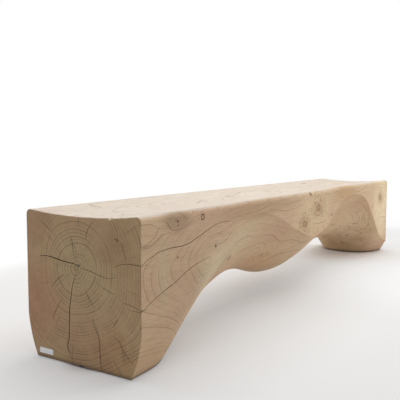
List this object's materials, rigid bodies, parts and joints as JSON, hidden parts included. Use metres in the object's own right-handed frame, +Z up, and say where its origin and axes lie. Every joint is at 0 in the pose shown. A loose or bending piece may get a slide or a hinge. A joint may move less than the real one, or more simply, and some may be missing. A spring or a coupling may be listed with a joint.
{
  "type": "carved wooden bench",
  "caption": "Long bench carved from a solid block of wood, with a gently dished seat, a wavy arched underside and drying cracks, standing on small floor glides.",
  "frame": {"origin": "on the floor under the middle of the bench", "axes": "+X along the bench, from the end with the plate to the other end; +Z up"},
  "size_m": [2.4, 0.42, 0.43],
  "materials": {
    "block_wood": "untreated, fine sanded",
    "knot_wood": "sanded end grain of a branch",
    "bark": "raw bark",
    "plate": "brushed, blank",
    "steel": "bright",
    "glide": "moulded nylon"
  },
  "bodies": {
    "root": {"bench_block": "block_wood", "knot_core": "knot_wood", "knot_bark": "bark", "name_plate": "plate", "plate_pins": "steel", "glide_nails": "steel", "glide_near_left": "glide", "glide_near_right": "glide", "glide_far_left": "glide", "glide_far_right": "glide"}
  },
  "joints": []
}
